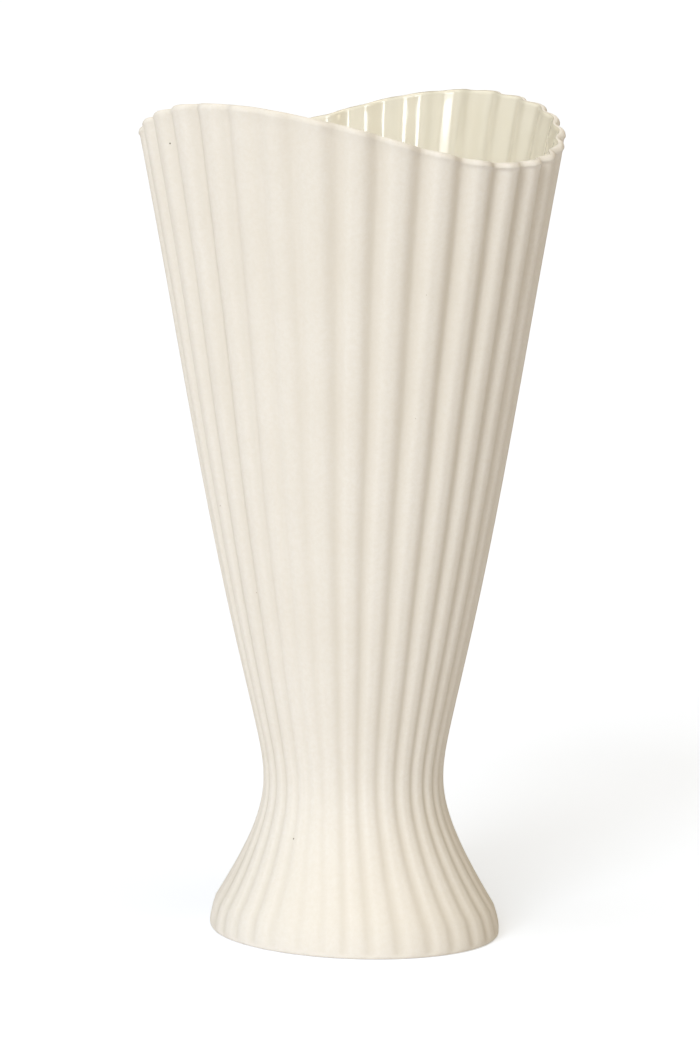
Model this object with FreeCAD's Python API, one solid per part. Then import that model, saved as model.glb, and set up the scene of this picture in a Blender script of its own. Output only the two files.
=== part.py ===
import FreeCAD, Part
import math
import os
from FreeCAD import Vector

# Fan vase: one cast stoneware shell with upright flutes, and the glaze that lines its inside.
# Millimetres. X is the long axis of the oval, Y the short one, Z is up, origin under the foot.

# Heights
peak_height = 320.0          # lip in the middle of each broad face
valley_height = 298.5        # lip at the two narrow ends
lip_wave = (peak_height - valley_height) / 2

# Points that steer the outside: half of the oval's long axis, half of its short axis, height
outline = [
    (57.3, 49.8, 11.0),      # where the foot turns in
    (45.2, 41.1, 28.0),      # flare
    (32.4, 31.4, 52.0),      # under the waist, where the oval is almost round
    (36.3, 35.5, 76.0),      # over the waist
    (50.3, 47.4, 130.0),     # lower cone
    (67.6, 60.4, 215.0),     # upper cone
    (77.3, 66.4, 265.0),     # where the cone starts to open
    (86.1, 73.6, peak_height - lip_wave),   # lip
]

# Walls
wall = 4.0                   # cast stoneware
lip_wall = 3.0               # it thins towards the lip
lip_round = 1.1              # outer edge of the lip, worn round with a sponge
glaze = 0.5                  # clear glaze
facet_sag = 0.5              # how far the flats of the inside may leave its outline

# Foot, from the table up: half axes and height of its edges
foot_rings = [
    (57.0, 48.9, 0.0),       # smooth edge that stands on the table
    (58.2, 50.0, 2.0),       # the flutes start
    (58.6, 50.5, 6.5),       # swell
]
foot_ring = 7.0              # width of the standing ring
recess = 3.0                 # how far the underside is hollowed
floor_top = 8.0              # inside floor
floor_corner = (7.0, 4.5)    # run and rise of the bevelled corner around the floor

# Flutes. They are cut deeper towards the lip
flutes = 32
foot_depth_share = 0.018     # of the mean radius
lip_depth_share = 0.042
ridge_share = 0.75           # of the outer depth: the same flutes on the inside, softened by the wall
groove_power = 3             # broad round ribs, narrower grooves
rib_shares = [-0.10, 0.10, 0.29, 0.50, 0.71]   # corners of one flute: a groove, then a rib
ridge_shares = [-0.17, 0.17, 0.50]             # the same inside: a ridge, then a hollow

spacing_oval = Part.Ellipse(Vector(), *outline[-3][:2]).toShape()


class Station:
    """One upright line of the wall: its turn round the oval and how deep in a groove it runs."""

    def __init__(self, flute, share, depth_share):
        length = (flute + share) / flutes % 1 * spacing_oval.Length
        self.turn = spacing_oval.getParameterByLength(length)
        self.groove = depth_share * abs(math.cos(math.pi * share)) ** groove_power
        self.rise = -lip_wave * math.cos(2 * self.turn)

    def smooth(self, long, short, height):
        return Vector(long * math.cos(self.turn), short * math.sin(self.turn), height)

    def point(self, long, short, height):
        """The place on the oval, moved in where a groove runs."""
        lowest, highest = outline[0][-1], outline[-1][-1]
        up = min(max((height - lowest) / (highest - lowest), 0), 1)
        depth_share = foot_depth_share + (lip_depth_share - foot_depth_share) * up
        outward = Vector(math.cos(self.turn) / long, math.sin(self.turn) / short, 0).normalize()
        return self.smooth(long, short, height) - outward * (self.groove * depth_share * (long + short) / 2)

    def raised(self, line):
        """The line's points here. The last one slides along the cone to the lip's height."""
        (long_below, short_below, height_below), (long, short, height) = line[-2:]
        share = self.rise / (height - height_below)
        top = self.point(long, short, height) + Vector(0, 0, self.rise)
        top += self.smooth(long - long_below, short - short_below, 0) * share
        return [self.point(*place) for place in line[:-1]] + [top]


def stations(shares, depth_share):
    return [Station(flute, share, depth_share) for flute in range(flutes) for share in shares]


def inward(line, distance, lip_distance):
    """The same line level by level inside a wall of that thickness, which differs at the lip."""
    moved = []
    for i, (long, short, height) in enumerate(line):
        below, above = line[max(i - 1, 0)], line[min(i + 1, len(line) - 1)]
        step = math.hypot((sum(above[:2]) - sum(below[:2])) / 2, above[-1] - below[-1])
        level = (lip_distance if i == len(line) - 1 else distance) * step / (above[-1] - below[-1])
        moved.append((long - level, short - level, height))
    return moved


def spline(points):
    curve = Part.BSplineCurve()
    curve.buildFromPoles(points)
    return curve.toShape()


def lining_line(distance, lip_distance, floor):
    """Outline of the inside as a chain of short steps: the floor's bevel, then the wall's inner side."""
    run, rise = floor_corner
    side = inward(outline, distance, lip_distance)[1:]
    foot, above = side[:2]
    start = floor + rise
    share = (start - foot[-1]) / (above[-1] - foot[-1])
    corner = [near + (far - near) * share for near, far in zip(foot[:2], above[:2])]
    poles = [Vector(*corner, start)] + [Vector(*place) for place in side]
    chain = [(p.x, p.y, p.z) for p in spline(poles).discretize(Deflection=facet_sag)]
    return [(corner[0] - run, corner[1] - run, floor)] + chain


def pairs(ring):
    return list(zip(ring, ring[1:] + ring[:1]))


def plane(*corners):
    return Part.Face(Part.makePolygon(list(corners) + [corners[0]]))


def triangles(lower, upper):
    """Two flat triangles between each pair of neighbours of two rings with as many points."""
    faces = []
    for (a, b), (c, d) in zip(pairs(lower), pairs(upper)):
        faces += [plane(a, b, c), plane(b, d, c)]
    return faces


def facets(lines):
    """Triangles between neighbouring upright lines, level by level."""
    rings = [list(ring) for ring in zip(*lines)]
    return [face for lower, upper in zip(rings, rings[1:]) for face in triangles(lower, upper)]


def lip_top(outer, inner):
    """The flat of the lip, from the ring of rib corners to the ring of ridge corners."""
    faces = []
    for flute in range(flutes):
        first = flute * len(rib_shares)
        ribs = [outer[(first + k) % len(outer)] for k in range(len(rib_shares) + 1)]
        first = flute * len(ridge_shares)
        ridges = [inner[(first + k) % len(inner)] for k in range(len(ridge_shares) + 1)]
        left, right, hollow, next_left = ridges
        faces += [plane(ribs[0], ribs[1], right), plane(ribs[0], right, left)]
        faces += [plane(ribs[1], ribs[2], right), plane(ribs[2], hollow, right)]
        faces += [plane(a, b, hollow) for a, b in zip(ribs[2:], ribs[3:-1])]
        faces += [plane(ribs[-2], next_left, hollow), plane(ribs[-2], ribs[-1], next_left)]
    return faces


def solid(faces):
    sewn = Part.Compound(faces)
    sewn.sewShape()
    body = Part.Solid(Part.Shell(sewn.Faces))
    if body.Volume < 0:
        body.reverse()
    return body


def stoneware_body():
    ribs = stations(rib_shares, 1)
    ridges = stations(ridge_shares, ridge_share)
    long, short, height = outline[-1]
    rails = [spline(s.raised(outline[:-1] + [(long, short, height - lip_round)])) for s in ribs]
    inside = [s.raised(lining_line(wall, lip_wall, floor_top)) for s in ridges]

    faces = [Part.makeRuledSurface(one, other) for one, other in pairs(rails)]
    faces += facets(inside)
    crest = [s.raised(inward(outline, lip_round, lip_round))[-1] for s in ribs]
    faces += triangles([edge.Vertexes[-1].Point for edge in rails], crest)
    faces += lip_top(crest, [line[-1] for line in inside])

    edges = [[s.smooth(*foot_rings[0]) for s in ribs]]
    edges += [[s.point(*place) for s in ribs] for place in foot_rings[1:]]
    edges.append([edge.Vertexes[0].Point for edge in rails])
    for lower, upper in zip(edges, edges[1:]):
        faces += triangles(lower, upper)

    half_axes = [half - foot_ring for half in foot_rings[0][:2]]
    ring_edge = Part.Ellipse(Vector(), *half_axes).toShape()
    hollow = Part.Face(Part.Wire(ring_edge))
    faces.append(plane(*edges[0]).cut(hollow).Faces[0])
    faces += [ring_edge.extrude(Vector(0, 0, recess)), hollow.translated(Vector(0, 0, recess))]
    faces.append(plane(*[line[0] for line in inside]))
    return solid(faces)


def inner_glaze():
    ridges = stations(ridge_shares, ridge_share)
    clay_side = [s.raised(lining_line(wall, lip_wall, floor_top)) for s in ridges]
    open_line = lining_line(wall + glaze, lip_wall + glaze, floor_top + glaze)
    open_side = [s.raised(open_line) for s in ridges]
    faces = facets(clay_side) + facets(open_side)
    faces += triangles([line[-1] for line in clay_side], [line[-1] for line in open_side])
    faces += [plane(*[line[0] for line in side]) for side in (clay_side, open_side)]
    return solid(faces)


os.makedirs("parts", exist_ok=True)
for name, piece in [("stoneware_body", stoneware_body()), ("inner_glaze", inner_glaze())]:
    piece.exportStep("parts/" + name + ".step")
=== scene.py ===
import bpy
import math
import numpy as np
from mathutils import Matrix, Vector


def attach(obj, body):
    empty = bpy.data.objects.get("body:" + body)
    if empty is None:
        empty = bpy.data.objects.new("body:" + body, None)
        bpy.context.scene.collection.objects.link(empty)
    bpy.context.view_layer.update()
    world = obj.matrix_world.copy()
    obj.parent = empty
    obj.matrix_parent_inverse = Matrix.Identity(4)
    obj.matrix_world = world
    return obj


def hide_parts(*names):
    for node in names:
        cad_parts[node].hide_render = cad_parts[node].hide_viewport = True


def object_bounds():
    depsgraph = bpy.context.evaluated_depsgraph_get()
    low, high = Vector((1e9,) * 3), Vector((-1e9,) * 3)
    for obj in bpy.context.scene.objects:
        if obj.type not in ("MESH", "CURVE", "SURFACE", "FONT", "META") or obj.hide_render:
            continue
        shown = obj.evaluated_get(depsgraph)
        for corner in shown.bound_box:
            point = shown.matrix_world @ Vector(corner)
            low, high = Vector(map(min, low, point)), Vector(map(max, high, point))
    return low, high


# Looks of the fan vase: the fluted stoneware shell, the glossy lining, and a white studio.
# Lengths are written in the drawing's millimetres and turned into metres by the frame's own height.

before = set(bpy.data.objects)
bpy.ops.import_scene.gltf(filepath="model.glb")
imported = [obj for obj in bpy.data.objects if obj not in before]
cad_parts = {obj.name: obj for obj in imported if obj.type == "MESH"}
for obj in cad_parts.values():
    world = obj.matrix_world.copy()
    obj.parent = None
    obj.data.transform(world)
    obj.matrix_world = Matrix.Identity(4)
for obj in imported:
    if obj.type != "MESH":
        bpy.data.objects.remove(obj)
cad_low, cad_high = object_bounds()
drawn_height = 320.0
mm = (cad_high[2] - cad_low[2]) / drawn_height

# Lip: as high as the drawing in the middle of the broad faces, and low at the narrow ends
valley_height = 298.5
lip_mean = (drawn_height + valley_height) / 2
lip_wave = (drawn_height - valley_height) / 2

# Points that steer the outside: half of the oval's long axis, half of its short axis, height
outline = [
    (56.8, 49.4, 11.0),      # where the foot turns in
    (45.2, 41.1, 28.0),      # flare
    (32.4, 31.4, 52.0),      # under the waist, where the oval is almost round
    (36.3, 35.5, 76.0),      # over the waist
    (50.3, 47.4, 130.0),     # lower cone
    (67.6, 60.4, 215.0),     # upper cone
    (77.3, 66.4, 265.0),     # where the cone starts to open
    (86.1, 73.6, lip_mean),  # lip
]
foot = [
    (57.4, 49.2, 0.0),       # on the table
    (58.9, 50.5, 0.1),       # the rounded edge
    (59.4, 51.1, 1.8),
    (58.5, 50.7, 6.5),       # swell
    outline[0],
]

# Walls
wall = 4.0
lip_wall = 3.0
lip_rise = 2.2               # height of the lip's rounding
glaze = 0.5
glaze_bite = 0.1             # how far its back is sunk into the clay
glaze_swell = 0.12           # how far its edge stands over the clay's lip
glaze_edge = (118, 178)      # what it covers of the lip's rounding, where 0 is outside and 180 inside

# Underside and floor
foot_ring = 7.0              # width of the standing ring
ring_inset = 2.0             # last row of points on the ring's flat, from its outer edge
recess = 3.0
recess_round = 1.2
floor_top = 8.0
floor_round = 9.0            # reach of the rounded corner about the floor
floor_ease = 2.4             # where the corner starts to rise, in such reaches
corner_walls = 1.25          # from the foot's outside to the corner, in walls
corner_rise = 0.4
ridge_heights = (2, 16)      # over the floor: where the flutes inside start, and where they are full
disc_middle = 0.02           # the smallest ring of a disc, against its edge

# Flutes. Their depths are shares of the mean radius
flutes = 32
flute_depth_heights = (outline[0][-1], 60.0, lip_mean)
flute_depth_shares = (0.012, 0.021, 0.042)
flute_start, flute_full = 0.2, 2.4             # over the table: they come in between these heights
groove_power = 3.4           # broad ribs and narrow grooves
ridge_depth_share = 0.030    # the same flutes inside
ridge_power = 1.7

# Marks of the hand: how far one flute differs from the next. The flutes on the seen side start from this
# one and run round to the right end of the rim. Listed shares: how far each is moved at the foot
# and on the wall, in flute widths, and its depth against the usual one.
first_moved_flute = 20
foot_move_shares = [0.5, 0.4, 0.35, 0.3, 0.25, 0.4, 0.3, 0.1, 0, 0.05,
                    0.2, 0.15, 0.15, 0.1, 0.05, 0, 0, 0, 0]
wall_move_shares = [0.1, 0.05, 0.05, 0.1, 0.15, 0.05, -0.05, 0.05, 0.05, 0.15,
                    0.25, 0.25, 0.2, 0.15, 0, 0, 0, 0, 0]
own_depth_shares = [1, 1, 1, 1.1, 0.8, 0.6, 0.7, 1, 1.15, 1.2,
                    1.2, 1.1, 1.1, 1, 0.8, 0.65, 0.65, 0.7, 0.8]
move_heights = (14.0, 48.0)  # between them the flutes go over from the foot's places to the wall's
place_spread_share = 0.05    # the other flutes' places and depths are drawn at random
depth_spread_share = 0.14
wander_share = 0.012         # of a flute's width, to and fro on the way up
wander_length = 90.0
lip_wobble = 0.22
lip_waves = ((7, 1.3, 0.6), (13, 0.4, 0.4))    # waves round the rim, their phase, their share
wall_wobble = 0.25
wall_waves = ((2, 0.7, 0.5), (5, 2.1, 0.3))
lip_dip = 0.25               # how far the lip sinks at a groove
lip_dip_reach = 10.0
lean = (0.8, 0.6)            # how far the foot stands off the lip's middle
hand = np.random.RandomState(7)

# Mesh: points round one flute, and rows of points
columns_per_flute = 16
measuring_points = 20001     # on the oval, by which its length is measured
recess_steps = 6
ring_steps = 5
foot_rows = 12
wall_rows = 96
lip_steps = 13
inside_rows = 44
disc_steps = 8
glaze_rows = 84
glaze_edge_steps = 8
crowding = 1.4               # rows lie closer together towards the lip

# Camera, fitted to the photograph. Turns are in degrees, 0 in front of -Y and 90 at +X
view_turn = 41.4
camera_distance = 1861.6
camera_height = 411.1
camera_sensor = 36
camera_lens = 169.1
aim_height = 157.0
aim_left = 0.5


def curve_weights(count, places):
    """Weights of each steering point of a clamped cubic spline at the given places from 0 to 1."""
    knots = np.concatenate([np.zeros(3), np.linspace(0, 1, count - 2), np.ones(3)])
    places = np.clip(places, 0, 1 - 1e-9)  # the last span has no right end
    weights = [((knots[i] <= places) & (places < knots[i + 1])).astype(float) for i in range(count + 3)]
    for degree in (1, 2, 3):
        raised = []
        for i in range(count + 3 - degree):
            total = np.zeros_like(places)
            if knots[i + degree] > knots[i]:
                total += (places - knots[i]) / (knots[i + degree] - knots[i]) * weights[i]
            if knots[i + degree + 1] > knots[i + 1]:
                rest = (knots[i + degree + 1] - places) / (knots[i + degree + 1] - knots[i + 1])
                total += rest * weights[i + 1]
            raised.append(total)
        weights = raised
    return np.stack(weights, axis=1)


def smooth_step(low, high, value):
    share = np.clip((value - low) / (high - low), 0, 1)
    return share * share * (3 - 2 * share)


class Columns:
    """Upright lines round the wall, evenly spaced on a middling oval, and the flutes they cross."""

    def __init__(self):
        count = flutes * columns_per_flute
        fine = np.linspace(0, 2 * math.pi, measuring_points)
        long, short, _ = outline[-3]
        steps = np.hypot(np.diff(long * np.cos(fine)), np.diff(short * np.sin(fine)))
        length = np.concatenate([[0], np.cumsum(steps)])
        share = np.arange(count) / count
        self.turn = np.interp(share * length[-1], length, fine)
        self.cos, self.sin = np.cos(self.turn), np.sin(self.turn)
        self.flute = share * flutes
        self.shifts = np.tile(hand.uniform(-1, 1, flutes) * place_spread_share, (2, 1))
        moved = (first_moved_flute + np.arange(len(foot_move_shares))) % flutes
        self.shifts[:, moved] = foot_move_shares, wall_move_shares
        self.depth = 1 + hand.uniform(-1, 1, flutes) * depth_spread_share
        self.depth[moved] = own_depth_shares
        self.phase = hand.uniform(0, 2 * math.pi, flutes)

    def groove(self, height, power):
        """How deep the section lies at each column, 1 at a groove's bottom and 0 on a rib's crest."""
        wander = wander_share * np.sin(height / wander_length * 2 * math.pi + self.phase)
        up = smooth_step(*move_heights, height)
        centres = np.arange(flutes) + wander + self.shifts[0] * (1 - up) + self.shifts[1] * up
        ring = np.concatenate([[centres[-1] - flutes], centres, [centres[0] + flutes]])
        depths = np.concatenate([[self.depth[-1]], self.depth, [self.depth[0]]])
        left = np.searchsorted(ring, self.flute, side="right") - 1
        inside = (self.flute - ring[left]) / (ring[left + 1] - ring[left])
        depth = np.where(inside < 0.5, depths[left], depths[left + 1])
        return depth * np.abs(np.cos(math.pi * inside)) ** power

    def sway(self, waves):
        """Uneven height or radius: the sum of a few waves round the oval."""
        return sum(share * np.sin(number * self.turn + phase) for number, phase, share in waves)


def rings(columns, rows):
    """Points of one ring per row. A row is (long, short, height, lift, flute, ridge): its half axes, its
    height, and the shares of the lip's wave, of the outer flutes and of the inner ridges in it."""
    (long0, short0, height0), (long1, short1, height1) = outline[-2:]
    run_long = (long1 - long0) / (height1 - height0)
    run_short = (short1 - short0) / (height1 - height0)
    saddle = -lip_wave * np.cos(2 * columns.turn)
    saddle += lip_wobble * columns.sway(lip_waves)
    wobble = wall_wobble * columns.sway(wall_waves)
    points = []
    for long, short, height, lift, flute, ridge in rows:
        depth = (long + short) / 2 * np.interp(height, flute_depth_heights, flute_depth_shares)
        sink = flute * depth * columns.groove(height, groove_power)
        sink = sink + ridge * ridge_depth_share * (long + short) / 2 * columns.groove(height, ridge_power)
        sink = sink - max(flute, ridge) * wobble
        out_x, out_y = columns.cos / long, columns.sin / short
        size = np.hypot(out_x, out_y)
        dip = lip_dip * smooth_step(lip_mean - lip_dip_reach, lip_mean, height)
        top = height + lift * saddle - dip * columns.groove(height, groove_power)
        tilt = 1 - height / drawn_height
        x = (long + lift * run_long * saddle) * columns.cos - out_x / size * sink + tilt * lean[0]
        y = (short + lift * run_short * saddle) * columns.sin - out_y / size * sink + tilt * lean[1]
        points.append(np.stack([x, y, top + np.zeros_like(x)], axis=1))
    return np.array(points)


def curve_rows(steering, count):
    """(long, short, height, lift) along the curve that the given points steer, closer together at its end."""
    weights = curve_weights(len(steering), 1 - np.linspace(1, 0, count) ** crowding)
    return np.column_stack([weights @ np.array(steering), weights[:, -1]])


def outer_rows():
    """From the standing ring's outer edge up to just under the lip."""
    rows = []
    for long, short, height, _ in curve_rows(foot, foot_rows)[:-1]:
        rows.append((long, short, height, 0, smooth_step(flute_start, flute_full, height), 0))
    for long, short, height, lift in curve_rows(outline, wall_rows):
        if height < lip_mean - lip_rise:
            rows.append((long, short, height, lift, 1, 0))
    return rows


def parallel(line, distance, lip_distance):
    """The line moved towards the axis, by another distance at the lip. Its height changes by the mean of
    what its slopes along the two axes ask for."""
    line = np.array(line)
    moved = line.copy()
    steps = np.gradient(line, axis=0)
    gaps = np.full(len(line), distance)
    gaps[-1] = lip_distance
    for axis in (0, 1):
        length = np.hypot(steps[:, axis], steps[:, 2])
        moved[:, axis] -= gaps * steps[:, 2] / length
        moved[:, 2] += gaps * steps[:, axis] / length / 2
    moved[-1, 2] = lip_mean - lip_rise
    return [tuple(point) for point in moved]


def inner_rows(distance, lip_distance, count):
    """From the lip's inner edge down along the inside of the wall and over the floor's edge."""
    deep = distance - wall
    side = parallel(outline[1:], distance, lip_distance)
    long, short, _ = outline[0]
    corner = corner_walls * wall + deep
    floor = [(long - corner - reach, short - corner - reach, floor_top + deep + rise)
             for reach, rise in ((floor_round * floor_ease, 0), (floor_round, 0), (0, corner_rise))]
    start, full = (floor_top + rise for rise in ridge_heights)
    rows = []
    for long, short, height, lift in curve_rows(floor + side, count)[::-1]:
        rows.append((long, short, height, lift, 0, smooth_step(start, full, height)))
    return rows


def lip_rows(start, stop, count, swell=0.0):
    """Over the rounded lip, from the start to the stop angle, 0 outside and 180 inside."""
    half = lip_wall / 2
    long, short, height = outline[-1]
    rows = []
    for angle in np.radians(np.linspace(start, stop, count)):
        across = math.cos(angle)
        inwards = half - (half + swell) * across
        rise = (lip_rise + swell) * math.sin(angle) - lip_rise
        rows.append((long - inwards, short - inwards, height + rise, 1, (1 + across) / 2, (1 - across) / 2))
    return rows


def disc_rows(long, short, height):
    """Flat rings from the given oval to a small one at the middle."""
    shares = np.linspace(1, disc_middle, disc_steps)[1:]
    return [(long * share, short * share, height, 0, 0, 0) for share in shares]


def under_rows():
    """From the middle of the hollowed underside out to the standing ring, whose inner edge is rounded."""
    long, short, _ = foot[0]
    rows = disc_rows(long - foot_ring - recess_round, short - foot_ring - recess_round, recess)[::-1]
    edge = [(recess_round * (math.cos(a) - 1), recess + recess_round * (math.sin(a) - 1))
            for a in np.radians(np.linspace(90, 0, recess_steps))]
    edge += [(recess_round * (1 + math.cos(a)) / 2, recess_round * (1 + math.sin(a)) / 2)
             for a in np.radians(np.linspace(180, 270, ring_steps))]
    edge.append((foot_ring - ring_inset, 0))
    for step, height in edge:
        rows.append((long - foot_ring + step, short - foot_ring + step, height, 0, 0, 0))
    return rows


def skin(name, points, shade_depths):
    """A closed mesh through the rings, capped at both ends, smooth, with the groove depth kept on it for the
    painted shade in the grooves.
    """
    count, around = points.shape[:2]
    mesh = bpy.data.meshes.new(name)
    rows = np.arange(count - 1)[:, None] * around
    here = np.arange(around)[None, :]
    there = (here + 1) % around
    quads = np.stack([rows + here, rows + there, rows + around + there, rows + around + here], axis=-1)
    faces = [list(range(around))[::-1]] + quads.reshape(-1, 4).tolist()
    faces.append([(count - 1) * around + k for k in range(around)])
    mesh.from_pydata((points.reshape(-1, 3) * mm).tolist(), [], faces)
    mesh.attributes.new("painted_groove_shade", "FLOAT", "POINT").data.foreach_set("value", shade_depths.reshape(-1))
    mesh.polygons.foreach_set("use_smooth", np.ones(len(mesh.polygons), dtype=bool))
    mesh.update()
    piece = bpy.data.objects.new(name, mesh)
    bpy.context.collection.objects.link(piece)
    return piece


def groove_shade_depths(columns, rows):
    """Groove depth at each point, from 0 to about 1, which sets how much painted shade the clay's colour gets
    in the grooves.
    """
    return np.array([columns.groove(height, groove_power) * flute for _, _, height, _, flute, _ in rows])


def clay_shell(columns):
    """The clay: underside, outside, lip, inside, floor."""
    inside = inner_rows(wall, lip_wall, inside_rows)
    rows = under_rows() + outer_rows() + lip_rows(0, 180, lip_steps)
    rows += inside[1:] + disc_rows(*inside[-1][:3])
    return skin("clay_shell", rings(columns, rows), groove_shade_depths(columns, rows))


def glaze_lining(columns):
    """The glaze: its back, sunk a little into the clay so that the two never part, then its open side,
    whose first rows the edge over the lip takes the place of."""
    edge = lip_rows(*glaze_edge, glaze_edge_steps, swell=glaze_swell)
    face = inner_rows(wall + glaze, lip_wall + glaze, glaze_rows)[2:]
    back = inner_rows(wall - glaze_bite, lip_wall - glaze_bite, inside_rows)
    rows = (back + disc_rows(*back[-1][:3]))[::-1] + edge + face + disc_rows(*face[-1][:3])
    return skin("glaze_lining", rings(columns, rows), groove_shade_depths(columns, rows))


class Graph:
    """Short words for building the nodes of a material or of the world."""

    def __init__(self, tree):
        self.tree = tree
        tree.nodes.clear()

    def node(self, kind, **settings):
        made = self.tree.nodes.new(kind)
        for key, value in settings.items():
            setattr(made, key, value)
        return made

    def link(self, source, target):
        self.tree.links.new(source, target)

    def noise(self, size, detail=4.0, rough=0.55, squash=None):
        """Noise whose largest grain is size millimetres."""
        place = self.node("ShaderNodeTexCoord").outputs["Object"]
        if squash:
            mapping = self.node("ShaderNodeMapping")
            mapping.inputs["Scale"].default_value = squash
            self.link(place, mapping.inputs["Vector"])
            place = mapping.outputs["Vector"]
        texture = self.node("ShaderNodeTexNoise")
        texture.inputs["Scale"].default_value = 1 / (size * mm)
        texture.inputs["Detail"].default_value = detail
        texture.inputs["Roughness"].default_value = rough
        self.link(place, texture.inputs["Vector"])
        return texture.outputs["Fac"]

    def span(self, value, low, high, to_low, to_high):
        """The value stretched so that low becomes to_low and high becomes to_high, and held there."""
        mapped = self.node("ShaderNodeMapRange", clamp=True)
        for key, number in (("From Min", low), ("From Max", high), ("To Min", to_low), ("To Max", to_high)):
            mapped.inputs[key].default_value = number
        self.link(value, mapped.inputs["Value"])
        return mapped.outputs["Result"]

    def blend(self, share, one, other):
        """Colour one where share is 0, other where it is 1."""
        mixed = self.node("ShaderNodeMix", data_type="RGBA")
        self.link(share, mixed.inputs["Factor"])
        for key, colour in ((6, one), (7, other)):
            if isinstance(colour, tuple):
                mixed.inputs[key].default_value = (*colour, 1)
            else:
                self.link(colour, mixed.inputs[key])
        return mixed.outputs[2]

    def bump(self, height, distance, strength, under=None):
        made = self.node("ShaderNodeBump")
        made.inputs["Distance"].default_value = distance * mm
        made.inputs["Strength"].default_value = strength
        self.link(height, made.inputs["Height"])
        if under:
            self.link(under, made.inputs["Normal"])
        return made.outputs["Normal"]

    def finish(self, shader):
        output = self.node("ShaderNodeOutputMaterial")
        self.link(shader, output.inputs["Surface"])


def new_material(name):
    material = bpy.data.materials.new(name)
    material.use_nodes = True
    return material, Graph(material.node_tree)


def specks(graph, spacing, radius, kept_share):
    """1 on a few small dots: the middles of some cells of a three-dimensional scatter."""
    place = graph.node("ShaderNodeTexCoord").outputs["Object"]
    cells = graph.node("ShaderNodeTexVoronoi")
    cells.inputs["Scale"].default_value = 1 / (spacing * mm)
    graph.link(place, cells.inputs["Vector"])
    edge = radius / spacing
    full = edge * 0.6
    dots = graph.span(cells.outputs["Distance"], full, edge, 1, 0)
    pick = graph.node("ShaderNodeSeparateColor")
    graph.link(cells.outputs["Color"], pick.inputs["Color"])
    chosen = graph.node("ShaderNodeMath", operation="LESS_THAN")
    chosen.inputs[1].default_value = kept_share
    graph.link(pick.outputs[0], chosen.inputs[0])
    both = graph.node("ShaderNodeMath", operation="MULTIPLY")
    graph.link(dots, both.inputs[0])
    graph.link(chosen.outputs[0], both.inputs[1])
    return both.outputs[0]


def bare_stoneware():
    """Matt cream clay: cloudy in tone, fine in grain, with a few iron specks, and painted shade that makes
    the grooves darker and warmer.
    """
    pale, deep = (0.885, 0.840, 0.785), (0.860, 0.810, 0.745)
    # The first is the fine grain's tone, the second the colour of the painted shade in the grooves.
    grain_tone, groove_shade_tone = (0.805, 0.740, 0.645), (0.715, 0.655, 0.565)
    iron, faint_iron = (0.090, 0.060, 0.038), (0.420, 0.330, 0.240)
    material, graph = new_material("bare_stoneware")
    colour = graph.blend(graph.span(graph.noise(38, detail=3), 0.35, 0.65, 0, 1), pale, deep)
    grain = graph.span(graph.noise(1.6, detail=6, rough=0.7), 0.38, 0.62, 0, 0.35)
    colour = graph.blend(grain, colour, grain_tone)
    # Painted shade: the clay's colour grows darker and warmer with the groove's depth.
    painted_groove_shade = graph.node("ShaderNodeAttribute", attribute_name="painted_groove_shade").outputs["Fac"]
    colour = graph.blend(graph.span(painted_groove_shade, 0.25, 1.05, 0, 0.4), colour, groove_shade_tone)
    colour = graph.blend(specks(graph, spacing=17, radius=0.42, kept_share=0.16), colour, iron)
    colour = graph.blend(specks(graph, spacing=8, radius=0.30, kept_share=0.10), colour, faint_iron)

    shader = graph.node("ShaderNodeBsdfPrincipled")
    shader.inputs["Specular IOR Level"].default_value = 0.28
    graph.link(colour, shader.inputs["Base Color"])
    graph.link(graph.span(graph.noise(5), 0.3, 0.7, 0.78, 0.92), shader.inputs["Roughness"])
    wave = graph.bump(graph.noise(14, detail=2), distance=0.25, strength=0.35)
    tooth = graph.bump(graph.noise(0.7, detail=5, rough=0.65), distance=0.05, strength=0.6, under=wave)
    graph.link(tooth, shader.inputs["Normal"])
    graph.finish(shader.outputs[0])
    return material


def clear_glaze():
    """Clear gloss over the same clay: a shade deeper than the bare side, with a slow ripple in its shine."""
    pale, deep, iron = (0.900, 0.845, 0.715), (0.870, 0.810, 0.670), (0.300, 0.220, 0.140)
    material, graph = new_material("clear_glaze")
    colour = graph.blend(graph.span(graph.noise(30, detail=3), 0.35, 0.65, 0, 1), pale, deep)
    colour = graph.blend(specks(graph, spacing=12, radius=0.35, kept_share=0.10), colour, iron)

    shader = graph.node("ShaderNodeBsdfPrincipled")
    shader.inputs["Roughness"].default_value = 0.55
    shader.inputs["Coat Weight"].default_value = 1.0
    shader.inputs["Coat Roughness"].default_value = 0.06
    shader.inputs["Coat IOR"].default_value = 1.52
    graph.link(colour, shader.inputs["Base Color"])
    slow = graph.noise(9, detail=2, rough=0.4, squash=(1, 1, 0.35))
    ripple = graph.bump(slow, distance=0.3, strength=0.25)
    graph.link(ripple, shader.inputs["Normal"])
    graph.link(ripple, shader.inputs["Coat Normal"])
    graph.finish(shader.outputs[0])
    return material


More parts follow.
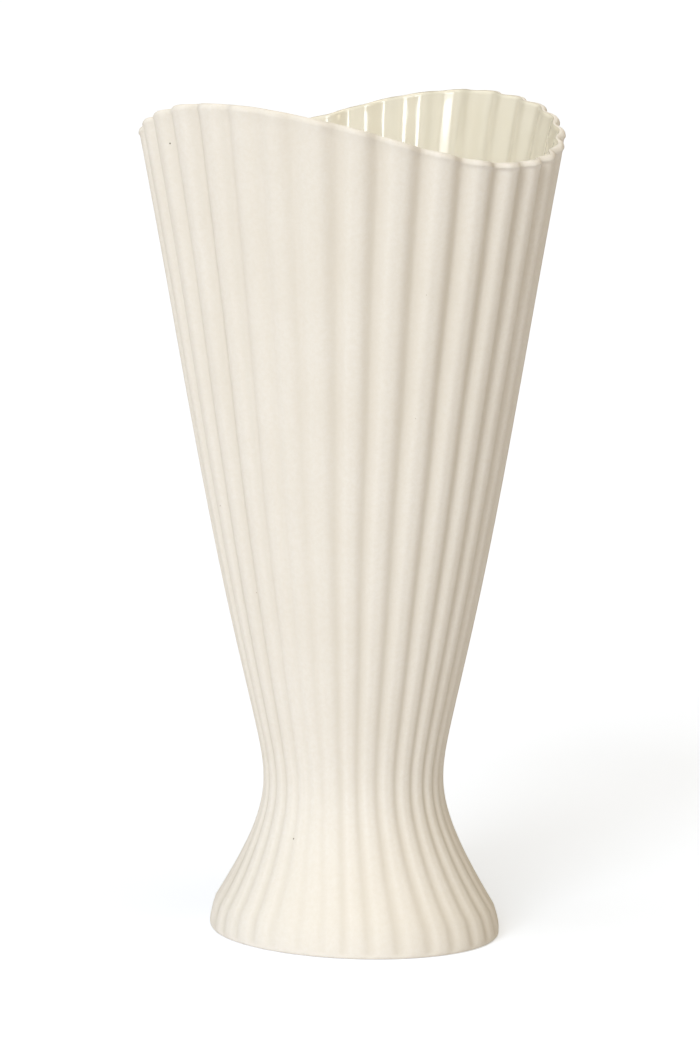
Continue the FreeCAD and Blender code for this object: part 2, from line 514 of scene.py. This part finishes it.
def studio_floor():
    """A white table. What the camera sees of it is lifted to plain white, and the shadow stays. On the
    vase it throws back a weak warm light."""
    reach = 40.0
    table_tone, seen_tone, thrown_tone = (0.76, 0.79, 0.88), (0.95, 0.98, 1), (1, 0.80, 0.44)
    seen_glow, thrown_glow = 0.43, 0.14
    mesh = bpy.data.meshes.new("table")
    corners = [(-reach, -reach, 0), (reach, -reach, 0), (reach, reach, 0), (-reach, reach, 0)]
    mesh.from_pydata(corners, [], [(0, 1, 2, 3)])
    table = bpy.data.objects.new("table", mesh)
    bpy.context.collection.objects.link(table)
    material, graph = new_material("white_table")
    matt = graph.node("ShaderNodeBsdfDiffuse")
    matt.inputs["Color"].default_value = (*table_tone, 1)
    glow = graph.node("ShaderNodeEmission")
    seen = graph.node("ShaderNodeLightPath").outputs["Is Camera Ray"]
    graph.link(graph.blend(seen, thrown_tone, seen_tone), glow.inputs["Color"])
    graph.link(graph.span(seen, 0, 1, thrown_glow, seen_glow), glow.inputs["Strength"])
    both = graph.node("ShaderNodeAddShader")
    graph.link(matt.outputs[0], both.inputs[0])
    graph.link(glow.outputs[0], both.inputs[1])
    graph.finish(both.outputs[0])
    mesh.materials.append(material)
    return table


def studio_world(strength, tint):
    """Weak even light from all round. The camera, also through glass, sees plain white there instead."""
    world = bpy.data.worlds.new("studio")
    bpy.context.scene.world = world
    world.use_nodes = True
    graph = Graph(world.node_tree)
    rays = graph.node("ShaderNodeLightPath")
    seen = graph.node("ShaderNodeMath", operation="MAXIMUM")
    graph.link(rays.outputs["Is Camera Ray"], seen.inputs[0])
    graph.link(rays.outputs["Is Transmission Ray"], seen.inputs[1])
    background = graph.node("ShaderNodeBackground")
    graph.link(graph.blend(seen.outputs[0], tint, (1, 1, 1)), background.inputs["Color"])
    graph.link(graph.span(seen.outputs[0], 0, 1, strength, 1), background.inputs["Strength"])
    output = graph.node("ShaderNodeOutputWorld")
    graph.link(background.outputs[0], output.inputs["Surface"])


def direction(azimuth, elevation):
    """Unit vector towards a place seen at that azimuth, where 0 is in front of -Y and 90 is at +X."""
    around, up = math.radians(azimuth), math.radians(elevation)
    return Vector((math.sin(around) * math.cos(up), -math.cos(around) * math.cos(up), math.sin(up)))


def aim(thing, place, target):
    thing.location = place
    thing.rotation_euler = (target - place).to_track_quat("-Z", "Y").to_euler()
    bpy.context.collection.objects.link(thing)


def sun(name, right_of_camera, elevation, strength, spread, tint):
    """A far lamp, spread degrees wide, so many degrees to the right of the camera and over the table."""
    light = bpy.data.lights.new(name, "SUN")
    light.color = tint
    light.energy = strength
    light.angle = math.radians(spread)
    aim(bpy.data.objects.new(name, light), direction(view_turn + right_of_camera, elevation), Vector())


def photo_camera():
    """The photograph's view: a long lens a little above the rim, turned from the oval's short axis."""
    data = bpy.data.cameras.new("photo_camera")
    data.sensor_width = camera_sensor
    data.lens = camera_lens
    place = direction(view_turn, 0) * (camera_distance * mm) + Vector((0, 0, camera_height * mm))
    left = Vector((-math.cos(math.radians(view_turn)), -math.sin(math.radians(view_turn)), 0))
    target = Vector((0, 0, aim_height * mm)) + left * (aim_left * mm)
    camera = bpy.data.objects.new("photo_camera", data)
    aim(camera, place, target)
    bpy.context.scene.camera = camera


columns = Columns()
shell = clay_shell(columns)
shell.data.materials.append(bare_stoneware())
lining = glaze_lining(columns)
lining.data.materials.append(clear_glaze())
for piece, node, finish in ((shell, "stoneware_body", "stoneware"), (lining, "inner_glaze", "clear_glaze")):
    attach(piece, "root")
    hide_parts(node)

studio_floor()
studio_world(strength=0.11, tint=(1, 0.78, 0.40))
sun("key", -22, elevation=30, strength=1.28, spread=30, tint=(0.89, 0.96, 1))
sun("side", -75, elevation=28, strength=0.49, spread=60, tint=(0.93, 0.97, 1))
sun("top", -30, elevation=78, strength=0.86, spread=50, tint=(1, 0.985, 0.96))
sun("fill", 78, elevation=67, strength=0.63, spread=60, tint=(1, 0.87, 0.63))
sun("left_window", -24, elevation=15, strength=0.38, spread=18, tint=(0.96, 0.98, 1))
sun("right_window", 42, elevation=13, strength=0.14, spread=12, tint=(1, 0.90, 0.76))
photo_camera()
bpy.context.scene.view_settings.view_transform = "Standard"
